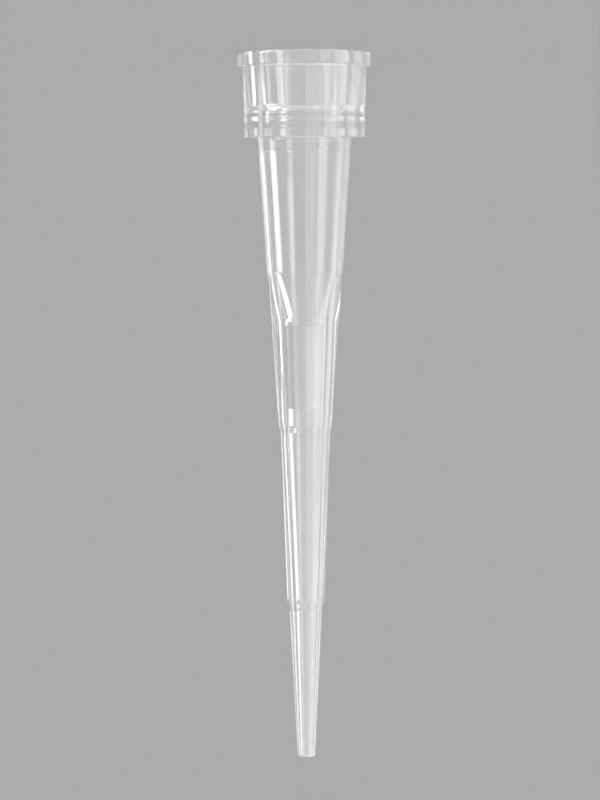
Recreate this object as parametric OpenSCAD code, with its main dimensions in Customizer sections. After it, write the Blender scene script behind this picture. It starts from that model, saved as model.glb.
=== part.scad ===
// Filter pipette tip for small volumes: one thin moulded body, stepped outside and funnelled
// inside, with a porous plug pressed into its bore. Both are bodies of revolution about one axis.
// Depths are measured along that axis, from the mouth face towards the nozzle, in millimetres.
// The tip stands on its rim with the nozzle up, so each depth is also a height above the ground.

/* [Overall] */
// Length from the mouth face to the end of the nozzle
tip_len = 32; // [28:0.5:40]

/* [Rim and collar] */
// Outer diameter of the collar, just under the rim
collar_d = 5.62; // [5.3:0.02:7]
// Length of the collar, from the mouth face to its underside
collar_len = 3.88; // [3.7:0.02:5]
// Draft of the collar's outside, in degrees a side
collar_draft = 1.2; // [0:0.1:2]
// How far the rim stands out past the collar, all round
rim_overhang = 0.215; // [0.1:0.005:0.4]
// Height of the rim
rim_h = 0.65; // [0.4:0.05:1.2]
// Rounding of the rim's upper edge
rim_edge_r = 0.08; // [0.02:0.01:0.15]

/* [Socket] */
// Diameter of the mouth, where the pipette's cone goes in
mouth_d = 4.16; // [4:0.02:4.6]
// Rounding of the mouth's inner edge
mouth_edge_r = 0.1; // [0.02:0.01:0.15]
// Diameter of the bore just above the sealing beads
entry_d = 3.83; // [3.75:0.01:3.95]
// Depth at which the sealing beads start
bead_depth = 2.42; // [2:0.02:2.5]
// Diameter across the crest of the sealing beads
bead_d = 3.64; // [3.5:0.01:3.7]
// Number of sealing beads
bead_count = 2; // [1:1:2]
// Spacing of the sealing beads
bead_pitch = 0.38; // [0.3:0.02:0.4]
// Length of the flat crest of each bead
bead_land = 0.1; // [0.05:0.01:0.15]
// Depth of the valley between two beads
bead_valley = 0.04; // [0.02:0.01:0.08]
// Length of each sloping flank of the beads
bead_flank = 0.27; // [0.15:0.01:0.3]
// Diameter of the bore just below the sealing beads
neck_d = 3.73; // [3.7:0.01:3.8]
// Depth of the fine ring that ends the socket
socket_len = 4.5; // [4.2:0.05:5]
// Diameter of the bore just above that ring
socket_end_d = 3.68; // [3.66:0.01:3.7]

/* [Chamber and funnel] */
// Diameter of the chamber's bore just below the fine ring
chamber_d = 3.65; // [3.4:0.01:3.66]
// Length of the chamber, from the fine ring to the funnel
chamber_len = 5.5; // [4:0.1:7]
// Diameter of the chamber's bore where the funnel starts
chamber_end_d = 2.92; // [2.4:0.02:3.4]
// Length of the funnel
funnel_len = 2.2; // [1.2:0.1:3]
// Wall of the body at the collar's underside
neck_wall = 0.275; // [0.2:0.005:0.5]
// Wall of the body where the funnel starts
chamber_wall = 0.26; // [0.15:0.005:0.4]

/* [Filter seat] */
// Diameter of the bore where the funnel ends
seat_d = 1.89; // [1.5:0.01:2.3]
// Length of the filter seat, from the funnel to the first outer step
seat_len = 4.88; // [4.3:0.02:7]
// Diameter of the bore at the first outer step
seat_end_d = 1.6; // [1.3:0.01:1.9]
// Wall of the body where the funnel ends
seat_wall = 0.587; // [0.3:0.01:0.7]
// Wall of the body just above the first outer step
seat_end_wall = 0.405; // [0.3:0.005:0.5]

/* [Filter plug] */
// Length of the plug
plug_len = 3.76; // [2:0.02:4.2]
// Distance of the plug's upper face below the end of the funnel
plug_setback = 0.17; // [0:0.01:0.4]
// Gap left between the plug and the bore, so that the two never overlap
plug_gap = 0.008; // [0.002:0.001:0.02]

/* [Stem and nozzle] */
// Length of the stem, between the two outer steps
stem_len = 8.03; // [5:0.1:10]
// Wall of the body just below the first outer step
stem_wall = 0.327; // [0.2:0.005:0.39]
// Diameter of the bore at the second outer step
stem_end_d = 0.93; // [0.7:0.01:1.2]
// Wall of the body just above the second outer step
stem_end_wall = 0.367; // [0.3:0.005:0.45]
// Wall of the body just below the second outer step
nozzle_wall = 0.28; // [0.2:0.005:0.35]
// Diameter of the nozzle's opening
orifice_d = 0.51; // [0.3:0.01:0.7]
// Wall of the nozzle at its end
orifice_wall = 0.135; // [0.1:0.005:0.25]
// Length of the first outer step
first_step_len = 0.43; // [0.2:0.01:0.8]
// Length of the second outer step
second_step_len = 0.65; // [0.3:0.01:1]

/* [Hidden] */
$fn = 96;

rim_r = collar_d / 2 + rim_overhang;
collar_end_r = collar_d / 2 - (collar_len - rim_h) * tan(collar_draft);
bead_end = bead_depth + 2 * bead_flank + bead_land + (bead_count - 1) * bead_pitch;
funnel_depth = socket_len + chamber_len;
seat_depth = funnel_depth + funnel_len;
seat_end = seat_depth + seat_len;
stem_end = seat_end + stem_len;
plug_depth = seat_depth + plug_setback;
// Height of the little step at the fine ring, where the socket's bore meets the chamber's
ring_h = 0.03;
// Points along each curved stretch of an outline
arc_steps = 8;

// The bore as [depth, radius], without the sealing beads and the rounded mouth
BORE = [
    [0, mouth_d / 2],
    [bead_depth, entry_d / 2],
    [bead_end, neck_d / 2],
    [socket_len, socket_end_d / 2],
    [socket_len + ring_h, chamber_d / 2],
    [funnel_depth, chamber_end_d / 2],
    [seat_depth, seat_d / 2],
    [seat_end, seat_end_d / 2],
    [stem_end, stem_end_d / 2],
    [tip_len, orifice_d / 2],
];

// Radius of the plain bore at a depth
function bore_r(depth) = lookup(depth, BORE);

// A quarter round of radius r, from angle a0 to a1, about a centre given as [radius, depth]
function quarter(centre, r, a0, a1) = [
    for (i = [0:arc_steps])
        let (a = a0 + (a1 - a0) * i / arc_steps)
            [centre.x + r * cos(a), centre.y + r * sin(a)]
];

// A soft step from one [radius, depth] to the next, level with the wall at both ends
function soft_step(from, to) = [
    for (i = [0:arc_steps])
        let (t = i / arc_steps, s = (1 - cos(180 * t)) / 2)
            [from.x + (to.x - from.x) * s, from.y + (to.y - from.y) * t]
];

// One sealing bead's crest, and the valley that follows it where another bead comes next
function bead(i) =
    let (start = bead_depth + bead_flank + i * bead_pitch, valley = start + (bead_land + bead_pitch) / 2)
        concat(
            [[bead_d / 2, start], [bead_d / 2, start + bead_land]],
            i < bead_count - 1 ? [[bead_d / 2 + bead_valley, valley]] : []
        );

// Outside of the body from the mouth face down, as [radius, depth]
function outside() = concat(
    quarter([rim_r - rim_edge_r, rim_edge_r], rim_edge_r, -90, 0),
    [
        [rim_r, rim_h],
        [collar_d / 2, rim_h],
        [collar_end_r, collar_len],
        [bore_r(collar_len) + neck_wall, collar_len],
        [bore_r(funnel_depth) + chamber_wall, funnel_depth],
        [bore_r(seat_depth) + seat_wall, seat_depth],
    ],
    outer_step(seat_end, first_step_len, seat_end_wall, stem_wall),
    outer_step(stem_end, second_step_len, stem_end_wall, nozzle_wall),
    [[bore_r(tip_len) + orifice_wall, tip_len]]
);

// An outer step of a given length, centred on a depth, from the wall above it to the wall below it
function outer_step(depth, len, wall_above, wall_below) =
    let (top = depth - len / 2, end = depth + len / 2)
        soft_step([bore_r(top) + wall_above, top], [bore_r(end) + wall_below, end]);

// Bore of the body from the nozzle up, as [radius, depth]
function inside() = concat(
    [for (i = [len(BORE) - 1:-1:2]) [BORE[i].y, BORE[i].x]],
    [for (i = [bead_count - 1:-1:0]) let (points = bead(i)) for (j = [len(points) - 1:-1:0]) points[j]],
    [[entry_d / 2, bead_depth]],
    quarter([bore_r(mouth_edge_r) + mouth_edge_r, mouth_edge_r], mouth_edge_r, 180, 270)
);

// Stretch of the bore between two depths, drawn in by a gap, as [radius, depth]
function bore_between(top, end, gap) = concat(
    [[bore_r(top) - gap, top]],
    [for (p = BORE) if (p.x > top && p.x < end) [p.y - gap, p.x]],
    [[bore_r(end) - gap, end]]
);

// Turns an outline of [radius, depth] points about the tip's axis, with the mouth face on the ground
module turned(outline) {
    rotate_extrude()
        polygon(outline);
}

module tip_body() {
    color([0.86, 0.88, 0.88, 0.45])
        turned(concat(outside(), inside()));
}

module filter_plug() {
    color([0.93, 0.93, 0.91])
        turned(concat(
            [[0, plug_depth]],
            bore_between(plug_depth, plug_depth + plug_len, plug_gap),
            [[0, plug_depth + plug_len]]
        ));
}

tip_body();
filter_plug();
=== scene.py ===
"""Filter pipette tip: a clear, thin-walled moulding with a porous plug pressed into its bore.

The tip stands on its rim with the nozzle up. Both pieces are turned again, finely, on the section of
their CAD nodes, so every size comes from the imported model.
"""

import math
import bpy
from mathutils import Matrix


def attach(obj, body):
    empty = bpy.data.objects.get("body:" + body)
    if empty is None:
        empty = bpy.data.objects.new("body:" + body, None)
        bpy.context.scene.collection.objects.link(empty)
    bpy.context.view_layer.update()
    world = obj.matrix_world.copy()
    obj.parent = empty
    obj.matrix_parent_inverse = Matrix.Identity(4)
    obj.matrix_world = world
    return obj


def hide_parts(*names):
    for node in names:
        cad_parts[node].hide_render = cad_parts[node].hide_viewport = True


bl_info = {
    "name": "Filter Pipette Tip",
    "version": (1, 0, 0),
    "blender": (4, 5, 0),
    "location": "View3D > Sidebar > Pipette Tip",
    "description": "A clear filter pipette tip with its porous plug, lit on a pale floor",
    "category": "Object",
}

import bmesh
import bpy
from bpy.props import FloatProperty, FloatVectorProperty, IntProperty, PointerProperty
from mathutils import Quaternion, Vector

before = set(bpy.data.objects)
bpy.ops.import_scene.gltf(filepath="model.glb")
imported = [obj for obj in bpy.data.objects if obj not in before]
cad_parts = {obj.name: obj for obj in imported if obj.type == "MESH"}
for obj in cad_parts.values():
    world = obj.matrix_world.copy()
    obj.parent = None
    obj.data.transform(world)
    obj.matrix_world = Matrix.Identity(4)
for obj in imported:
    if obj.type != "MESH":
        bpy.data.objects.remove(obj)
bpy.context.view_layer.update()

SAME_PLACE = 2e-6  # two corners of a section nearer than this are one, in metres
STRAIGHT = 1e-7  # a corner of a section less than this off a straight run is left out, in metres
SIDEWAYS = 0.02  # a face is part of a wall if its normal leans to that side by this share or more
LONG_RUN = 4  # a run longer than this many times the support distance gets support rings

HAZE_SCALE = 900.0  # patches of haze to a metre
HAZE_DETAIL = 3.0  # octaves of finer haze
HAZE_SPREAD = (0.8, 1.2)  # least and greatest roughness, as shares of the set one
MATT = 0.9  # roughness of the plug and the floor
PLUG_SHEEN = 0.2  # strength of the plug's highlights
GRAIN_GAP_PAINTED_SHADE = 0.84  # brightness of the painted shade in the gap between two grains, as a share of a grain's
GRAIN_RELIEF = 0.4  # strength of the bump that the grains make
GRAIN_FLATNESS = 3  # width of a grain over its depth

DIM_BELOW, BRIGHT_ABOVE = 20, 40  # the surroundings brighten between these, in degrees upwards
CLIP_START, CLIP_END = 0.01, 20  # nearest and farthest place that the camera sees, in metres
LIGHT_BOUNCES = 32  # light runs a long way inside the clear wall before it leaves
# Light cards round the tip, each of which the clear wall shows as a bright line or band: name, first
# and last angle in degrees from straight behind the tip towards the camera's right, distance from
# the axis and height of the lower and the upper edge in metres, and brightness
LIGHT_CARDS = (
    ("left_back_foot", -43, -29, 0.05, 0, 0.004, 0.7),
    ("left_back_chamber", -43, -29, 0.05, 0.004, 0.0144, 1.5),
    ("left_back_plug", -35, -14, 0.05, 0.0146, 0.0195, 1.0),
    ("left_back_stem", -36, -15, 0.25, 0.031, 0.0585, 1.1),
    ("left_back_funnel", -19.5, -10, 0.25, 0.0588, 0.0745, 1.2),
    ("left_back_funnel_side", -38, -20, 0.25, 0.087, 0.108, 1.1),
    ("behind_left_foot", -11.5, -8, 0.05, 0, 0.004, 0.55),
    ("behind_left", -13, -8, 0.05, 0.004, 0.0113, 1.0),
    ("left_strip", -94, -84, 0.25, 0, 0.12, 3.5),
    ("left_front", -149, -136, 0.25, 0, 0.12, 2.4),
    ("right_back", 14, 52, 0.05, 0, 0.1, 0.25),
    ("right_side", 69, 91, 0.25, 0, 0.4, 1.5),
    ("right_front", 120, 144, 0.04, 0, 0.07, 3.0),
    ("front_fill", 150, 178, 0.25, 0, 0.12, 1.3),
)

# Properties


def length(name, millimetres, description):
    """A size that is typed in millimetres here and kept in metres."""
    return FloatProperty(
        name=name,
        description=description,
        default=millimetres / 1000,
        min=0,
        precision=6,
        subtype="DISTANCE",
        unit="LENGTH",
    )


def amount(name, default, description, highest=1.0):
    """A plain number from 0 to a highest value."""
    return FloatProperty(name=name, description=description, default=default, min=0, max=highest)


def tint(name, default, description):
    """A linear colour."""
    return FloatVectorProperty(
        name=name, description=description, default=default, min=0, max=1, size=3, subtype="COLOR"
    )


class TipBodySettings(bpy.types.PropertyGroup):
    """The clear moulded body."""

    segments: IntProperty(name="Segments", description="Facets round the body", default=288, min=48)
    edge_radius: length("Edge radius", 0.025, "Rounding of the moulding's corners")
    support: length("Support", 0.04, "Distance of a support ring from each corner of the section")
    index: amount("Refractive index", 1.49, "Refractive index of clear polypropylene", 2.0)
    roughness: amount("Roughness", 0.05, "Roughness of the moulded surface")
    clearness: amount("Clearness", 0.87, "Share of the light that passes the faintly milky plastic")
    colour: tint("Colour", (0.99, 0.99, 0.99), "Colour of the clear plastic")


class FilterPlugSettings(bpy.types.PropertyGroup):
    """The porous plug."""

    segments: IntProperty(name="Segments", description="Facets round the plug", default=96, min=24)
    edge_radius: length("Edge radius", 0.02, "Rounding of the plug's two edges")
    support: length("Support", 0.06, "Distance of a support ring from each corner of the section")
    grain: length("Grain", 0.1, "Width of a sintered grain")
    colour: tint("Colour", (0.9, 0.9, 0.895), "Colour of the sintered plastic")


class StageSettings(bpy.types.PropertyGroup):
    """Floor, light and camera."""

    floor_width: length("Floor width", 6000, "Width of the pale floor")
    floor_colour: tint("Floor colour", (0.72, 0.72, 0.72), "Colour of the floor")
    backdrop: amount("Backdrop", 0.41, "Brightness of the pale surroundings, level with the tip", 4.0)
    overhead: amount("Overhead", 0.623, "Brightness overhead, which sets how bright the floor is", 4.0)
    roof_height: length("Roof height", 300, "Height of the level light card over the tip")
    roof_width: length("Roof width", 400, "Width of that card")
    roof_brightness: amount("Roof brightness", 3.3, "Brightness of that card", 10.0)
    camera_distance: length("Camera distance", 205, "Distance from the camera to the tip's axis")
    camera_height: length("Camera height", 8.1, "Height of the camera above the floor")
    aim_height: length("Aim height", 15.775, "Height above the floor that the camera looks at")
    aim_side: length("Aim side", 0.243, "Distance from the tip's axis to where the camera looks")
    camera_roll: FloatProperty(
        name="Camera roll",
        description="Turn of the camera about its own axis, which puts the mouth up in the picture",
        default=math.radians(179.794),
        subtype="ANGLE",
    )
    frame_height: length("Frame height", 36.33, "Height of the picture at the tip's axis")


# Sections and turning


def wall_of(node, side):
    """Corners of a round CAD node's wall as (radius, height), from the ground up.

    side is 1 for the wall that faces away from the axis and -1 for the wall that faces it.
    """
    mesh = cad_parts[node].data
    corners = set()
    for face in mesh.polygons:
        outward = Vector((face.center.x, face.center.y, 0)).normalized().dot(face.normal)
        if outward * side < SIDEWAYS:
            continue
        for index in face.vertices:
            point = mesh.vertices[index].co
            corners.add((math.hypot(point.x, point.y), point.z))
    ordered = sorted(corners, key=lambda corner: (round(corner[1] / SAME_PLACE), -side * corner[0]))
    return without_spares([Vector(corner) for corner in ordered])


def without_spares(corners):
    """The same wall without repeated corners and corners on a straight run."""
    kept = [corners[0]]
    for corner in corners[1:]:
        if (corner - kept[-1]).length > SAME_PLACE:
            kept.append(corner)
    index = 1
    while index < len(kept) - 1:
        before, here, after = kept[index - 1 : index + 2]
        run = after - before
        off_line = abs(run.cross(here - before)) / run.length
        if off_line < STRAIGHT:
            del kept[index]
        else:
            index += 1
    return kept


def with_support(outline, reach):
    """The same outline with a corner added near both ends of each long run.

    Smooth shading then stays true along the run and bends only at its ends.
    """
    supported = outline[:1]
    for before, here in zip(outline, outline[1:]):
        run = here - before
        if run.length > LONG_RUN * reach:
            step = run * (reach / run.length)
            supported += [before + step, here - step]
        supported.append(here)
    return supported


def deselect_everything():
    """Leaves no object selected, so that an operator acts only on what it makes."""
    bpy.ops.object.select_all(action="DESELECT")


def turn_piece(name, outline, segments, closed):
    """Turns an outline of (radius, height) corners about the upright axis, ring by ring.

    A closed outline makes a hollow piece, and an open one a solid piece with a cap at each end.
    """
    deselect_everything()
    start = outline[0]
    bpy.ops.mesh.primitive_circle_add(
        vertices=segments, radius=start.x, fill_type="NOTHING", location=(0, 0, start.y)
    )
    piece = bpy.context.active_object
    piece.name = name
    piece.data.name = name
    bpy.ops.object.transform_apply(location=True, rotation=True, scale=True)
    bpy.ops.object.mode_set(mode="EDIT")
    bpy.ops.mesh.select_all(action="SELECT")
    if not closed:
        bpy.ops.mesh.edge_face_add()
    for before, here in zip(outline, outline[1:]):
        bpy.ops.mesh.extrude_region_move(TRANSFORM_OT_translate={"value": (0, 0, here.y - before.y)})
        growth = here.x / before.x
        bpy.ops.transform.resize(value=(growth, growth, 1), center_override=(0, 0, here.y))
    bpy.ops.mesh.select_all(action="SELECT")
    if closed:
        bpy.ops.mesh.remove_doubles(threshold=SAME_PLACE / 2)
    else:
        bpy.ops.mesh.select_mode(type="EDGE")
        bpy.ops.mesh.select_non_manifold(extend=False)
        bpy.ops.mesh.edge_face_add()
        bpy.ops.mesh.select_all(action="SELECT")
    bpy.ops.mesh.normals_make_consistent(inside=False)
    bpy.ops.mesh.select_all(action="DESELECT")
    bpy.ops.object.mode_set(mode="OBJECT")
    return piece


def round_rings(piece, radius, sharper_than, steps):
    """Bevels each ring where the surface turns by more than an angle, in degrees."""
    bpy.ops.object.mode_set(mode="EDIT")
    bpy.ops.mesh.select_mode(type="EDGE")
    form = bmesh.from_edit_mesh(piece.data)
    for edge in form.edges:
        level = abs(edge.verts[0].co.z - edge.verts[1].co.z) < SAME_PLACE
        turned = edge.is_manifold and math.degrees(edge.calc_face_angle(0)) > sharper_than
        edge.select_set(level and turned)
    bmesh.update_edit_mesh(piece.data)
    bpy.ops.mesh.bevel(offset=radius, segments=steps, affect="EDGES", clamp_overlap=True)
    bpy.ops.mesh.select_all(action="DESELECT")
    bpy.ops.object.mode_set(mode="OBJECT")


# Materials


def new_material(name):
    """A new node material, its node tree and its principled shader."""
    material = bpy.data.materials.new(name)
    material.use_nodes = True
    return material, material.node_tree, material.node_tree.nodes["Principled BSDF"]


def pattern(tree, kind, scale):
    """A procedural texture of a kind, on the piece's own coordinates."""
    place = tree.nodes.new("ShaderNodeTexCoord")
    texture = tree.nodes.new(kind)
    texture.inputs["Scale"].default_value = scale
    tree.links.new(place.outputs["Object"], texture.inputs["Vector"])
    return texture


def clear_plastic(settings):
    """Clear polypropylene with the faint haze and flow of a thin moulding."""
    material, tree, shader = new_material("clear_polypropylene")
    shader.inputs["Base Color"].default_value = (*settings.colour, 1)
    shader.inputs["IOR"].default_value = settings.index
    shader.inputs["Transmission Weight"].default_value = settings.clearness
    haze = pattern(tree, "ShaderNodeTexNoise", HAZE_SCALE)
    haze.inputs["Detail"].default_value = HAZE_DETAIL
    spread = tree.nodes.new("ShaderNodeMapRange")
    spread.inputs["To Min"].default_value = settings.roughness * HAZE_SPREAD[0]
    spread.inputs["To Max"].default_value = settings.roughness * HAZE_SPREAD[1]
    tree.links.new(haze.outputs["Fac"], spread.inputs["Value"])
    tree.links.new(spread.outputs["Result"], shader.inputs["Roughness"])
    return material


def sintered_plastic(settings):
    """Porous polyethylene: a matt white mass of tiny fused grains, with painted shade in the gaps
    between them.
    """
    material, tree, shader = new_material("sintered_polyethylene")
    shader.inputs["Roughness"].default_value = MATT
    shader.inputs["Specular IOR Level"].default_value = PLUG_SHEEN
    grains = pattern(tree, "ShaderNodeTexVoronoi", 1 / settings.grain)
    # painted shade: the colour darkens towards the gap between two grains
    painted_gap_shade = tree.nodes.new("ShaderNodeMix")
    painted_gap_shade.data_type = "RGBA"
    painted_gap_shade.inputs["A"].default_value = (*settings.colour, 1)
    painted_gap_shade.inputs["B"].default_value = (*(GRAIN_GAP_PAINTED_SHADE * channel for channel in settings.colour), 1)
    tree.links.new(grains.outputs["Distance"], painted_gap_shade.inputs["Factor"])
    tree.links.new(painted_gap_shade.outputs["Result"], shader.inputs["Base Color"])
    bump = tree.nodes.new("ShaderNodeBump")
    bump.invert = True
    bump.inputs["Strength"].default_value = GRAIN_RELIEF
    bump.inputs["Distance"].default_value = settings.grain / GRAIN_FLATNESS
    tree.links.new(grains.outputs["Distance"], bump.inputs["Height"])
    tree.links.new(bump.outputs["Normal"], shader.inputs["Normal"])
    return material


def floor_finish(colour):
    """A plain pale, matt floor."""
    material, _, shader = new_material("pale_floor")
    shader.inputs["Base Color"].default_value = (*colour, 1)
    shader.inputs["Roughness"].default_value = MATT
    shader.inputs["Specular IOR Level"].default_value = 0.0
    return material


# Pieces


class TIP_OT_body(bpy.types.Operator):
    """Turn the clear body on the section of its CAD node"""

    bl_idname = "tip.body"
    bl_label = "Clear Body"

    def execute(self, context):
        settings = context.scene.tip_body
        outside = wall_of("tip_body", 1)
        bore = wall_of("tip_body", -1)
        outline = with_support(outside + bore[::-1] + outside[:1], settings.support)
        body = turn_piece("clear_body", outline, settings.segments, closed=True)
        round_rings(body, settings.edge_radius, sharper_than=25, steps=4)
        bpy.ops.object.shade_smooth()
        body.data.materials.append(clear_plastic(settings))
        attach(body, "root")
        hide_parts("tip_body")
        return {"FINISHED"}


class TIP_OT_plug(bpy.types.Operator):
    """Turn the porous plug on the section of its CAD node"""

    bl_idname = "tip.plug"
    bl_label = "Filter Plug"

    def execute(self, context):
        settings = context.scene.tip_plug
        wall = with_support(wall_of("filter_plug", 1), settings.support)
        plug = turn_piece("porous_plug", wall, settings.segments, closed=False)
        round_rings(plug, settings.edge_radius, sharper_than=40, steps=3)
        bpy.ops.object.shade_smooth()
        plug.data.materials.append(sintered_plastic(settings))
        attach(plug, "root")
        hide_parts("filter_plug")
        return {"FINISHED"}


# Stage


def pale_surroundings(settings):
    """A plain pale world, even near the ground and brighter overhead."""
    world = bpy.data.worlds.new("pale_surroundings")
    world.use_nodes = True
    tree = world.node_tree
    place = tree.nodes.new("ShaderNodeTexCoord")
    parts = tree.nodes.new("ShaderNodeSeparateXYZ")
    tree.links.new(place.outputs["Generated"], parts.inputs["Vector"])
    ramp = tree.nodes.new("ShaderNodeMapRange")
    ramp.interpolation_type = "SMOOTHSTEP"
    ramp.inputs["From Min"].default_value = math.sin(math.radians(DIM_BELOW))
    ramp.inputs["From Max"].default_value = math.sin(math.radians(BRIGHT_ABOVE))
    ramp.inputs["To Min"].default_value = settings.backdrop
    ramp.inputs["To Max"].default_value = settings.overhead
    tree.links.new(parts.outputs["Z"], ramp.inputs["Value"])
    background = tree.nodes["Background"]
    background.inputs["Color"].default_value = (1, 1, 1, 1)
    tree.links.new(ramp.outputs["Result"], background.inputs["Strength"])
    return world


def around(angle, distance, height):
    """A place round the tip, at an angle in degrees from straight behind it to the camera's right."""
    turn = math.radians(angle)
    return Vector((-math.sin(turn) * distance, math.cos(turn) * distance, height))


def add_card(name, place, facing, size, brightness, lit):
    """A light card of a width and height that faces along a vector and lights only what is in lit."""
    deselect_everything()
    bpy.ops.object.light_add(type="AREA", location=place)
    lamp = bpy.context.active_object
    lamp.name = name
    lamp.data.shape = "RECTANGLE"
    lamp.data.size, lamp.data.size_y = size
    lamp.data.energy = brightness * math.pi * size[0] * size[1]  # the power of an even glow
    lamp.rotation_euler = facing.to_track_quat("-Z", "Y").to_euler()
    lamp.visible_camera = False
    lamp.light_linking.receiver_collection = lit


def add_upright_card(name, first, last, distance, bottom, top, brightness, lit):
    """An upright card that faces the axis, from one angle to another."""
    width = 2 * distance * math.tan(math.radians(last - first) / 2)
    place = around((first + last) / 2, distance, (bottom + top) / 2)
    add_card(name, place, Vector((-place.x, -place.y, 0)), (width, top - bottom), brightness, lit)


def upturned_camera(settings):
    """A camera that is turned over, so that the mouth that the tip stands on is up in the picture."""
    place = Vector((0, -settings.camera_distance, settings.camera_height))
    look = Vector((settings.aim_side, 0, settings.aim_height)) - place
    bpy.ops.object.camera_add(location=place)
    camera = bpy.context.active_object
    camera.name = "camera"
    camera.rotation_mode = "QUATERNION"
    upright = look.to_track_quat("-Z", "Y")
    camera.rotation_quaternion = upright @ Quaternion((0, 0, 1), settings.camera_roll)
    camera.data.lens = camera.data.sensor_width * look.length / settings.frame_height
    camera.data.clip_start = CLIP_START
    camera.data.clip_end = CLIP_END
    return camera


class TIP_OT_stage(bpy.types.Operator):
    """Lay the pale floor, set the soft lights and place the camera"""

    bl_idname = "tip.stage"
    bl_label = "Floor, Lights and Camera"

    def execute(self, context):
        settings = context.scene.tip_stage
        deselect_everything()
        bpy.ops.mesh.primitive_plane_add(size=settings.floor_width, location=(0, 0, 0))
        floor = bpy.context.active_object
        floor.name = "floor"
        floor.data.materials.append(floor_finish(settings.floor_colour))
        context.scene.world = pale_surroundings(settings)
        lit = bpy.data.collections.new("lit_by_cards")
        for name in ("clear_body", "porous_plug"):
            lit.objects.link(bpy.data.objects[name])
        for card in LIGHT_CARDS:
            add_upright_card(*card, lit)
        roof = Vector((0, 0, settings.roof_height))
        add_card("roof", roof, -roof, (settings.roof_width,) * 2, settings.roof_brightness, lit)
        context.scene.camera = upturned_camera(settings)
        context.scene.view_settings.view_transform = "Standard"
        context.scene.cycles.max_bounces = LIGHT_BOUNCES
        context.scene.cycles.transmission_bounces = LIGHT_BOUNCES
        context.scene.cycles.glossy_bounces = LIGHT_BOUNCES
        return {"FINISHED"}


class TIP_PT_panel(bpy.types.Panel):
    """Builds the tip piece by piece"""

    bl_idname = "TIP_PT_panel"
    bl_label = "Pipette Tip"
    bl_space_type = "VIEW_3D"
    bl_region_type = "UI"
    bl_category = "Pipette Tip"

    def draw(self, context):
        scene = context.scene
        for settings, operator in (
            (scene.tip_body, "tip.body"),
            (scene.tip_plug, "tip.plug"),
            (scene.tip_stage, "tip.stage"),
        ):
            box = self.layout.box()
            for key in settings.__annotations__:
                box.prop(settings, key)
            box.operator(operator)


CLASSES = (
    TipBodySettings,
    FilterPlugSettings,
    StageSettings,
    TIP_OT_body,
    TIP_OT_plug,
    TIP_OT_stage,
    TIP_PT_panel,
)


def register():
    """Adds the classes and the scene's settings."""
    for cls in CLASSES:
        bpy.utils.register_class(cls)
    bpy.types.Scene.tip_body = PointerProperty(type=TipBodySettings)
    bpy.types.Scene.tip_plug = PointerProperty(type=FilterPlugSettings)
    bpy.types.Scene.tip_stage = PointerProperty(type=StageSettings)


def unregister():
    """Removes the scene's settings and the classes."""
    del bpy.types.Scene.tip_stage
    del bpy.types.Scene.tip_plug
    del bpy.types.Scene.tip_body
    for cls in reversed(CLASSES):
        bpy.utils.unregister_class(cls)


def main():
    """Builds every piece and the stage."""
    register()
    bpy.ops.tip.body()
    bpy.ops.tip.plug()
    bpy.ops.tip.stage()


if __name__ == "__main__":
    main()
